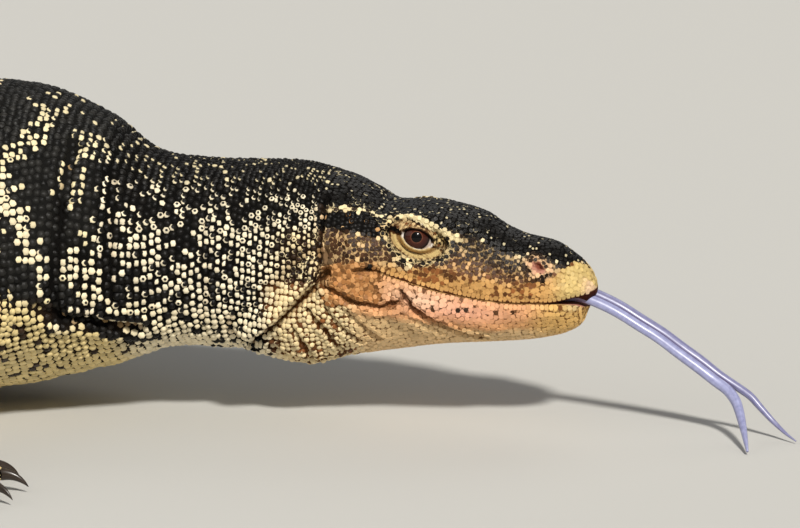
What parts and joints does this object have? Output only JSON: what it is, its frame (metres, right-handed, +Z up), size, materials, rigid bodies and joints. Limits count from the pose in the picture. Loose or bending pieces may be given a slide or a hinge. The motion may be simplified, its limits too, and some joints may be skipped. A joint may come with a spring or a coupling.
{
  "type": "life-size water monitor lizard model",
  "caption": "Life-size still model of a large monitor lizard lying low on its belly, neck stretched forward, forked tongue flicked down to the ground.",
  "frame": {"origin": "on the flat under the middle of the belly, where the animal rests on the floor, halfway between the shoulders and the hips", "axes": "+X the way the trunk faces, towards the head; +Y to the animal's left; +Z up from the floor"},
  "size_m": [1.8645, 0.5856, 0.1505],
  "materials": {
    "skin": "satin",
    "jaw_skin": "satin",
    "tongue": "gloss",
    "eye": "gloss",
    "claw": "gloss"
  },
  "bodies": {
    "root": {"head": "skin", "lower_jaw": "jaw_skin", "tongue": "tongue", "eye_left": "eye", "eye_right": "eye", "neck": "skin", "chest": "skin", "belly": "skin", "pelvis": "skin", "tail_1": "skin", "tail_2": "skin", "tail_3": "skin", "tail_4": "skin", "tail_5": "skin", "right_front_upper_arm": "skin", "right_front_forearm": "skin", "right_front_hand": "skin", "right_front_claw_1": "claw", "right_front_claw_2": "claw", "right_front_claw_3": "claw", "right_front_claw_4": "claw", "right_front_claw_5": "claw", "left_front_upper_arm": "skin", "left_front_forearm": "skin", "left_front_hand": "skin", "left_front_claw_1": "claw", "left_front_claw_2": "claw", "left_front_claw_3": "claw", "left_front_claw_4": "claw", "left_front_claw_5": "claw", "right_hind_thigh": "skin", "right_hind_shank": "skin", "right_hind_foot": "skin", "right_hind_claw_1": "claw", "right_hind_claw_2": "claw", "right_hind_claw_3": "claw", "right_hind_claw_4": "claw", "right_hind_claw_5": "claw", "left_hind_thigh": "skin", "left_hind_shank": "skin", "left_hind_foot": "skin", "left_hind_claw_1": "claw", "left_hind_claw_2": "claw", "left_hind_claw_3": "claw", "left_hind_claw_4": "claw", "left_hind_claw_5": "claw"}
  },
  "joints": []
}
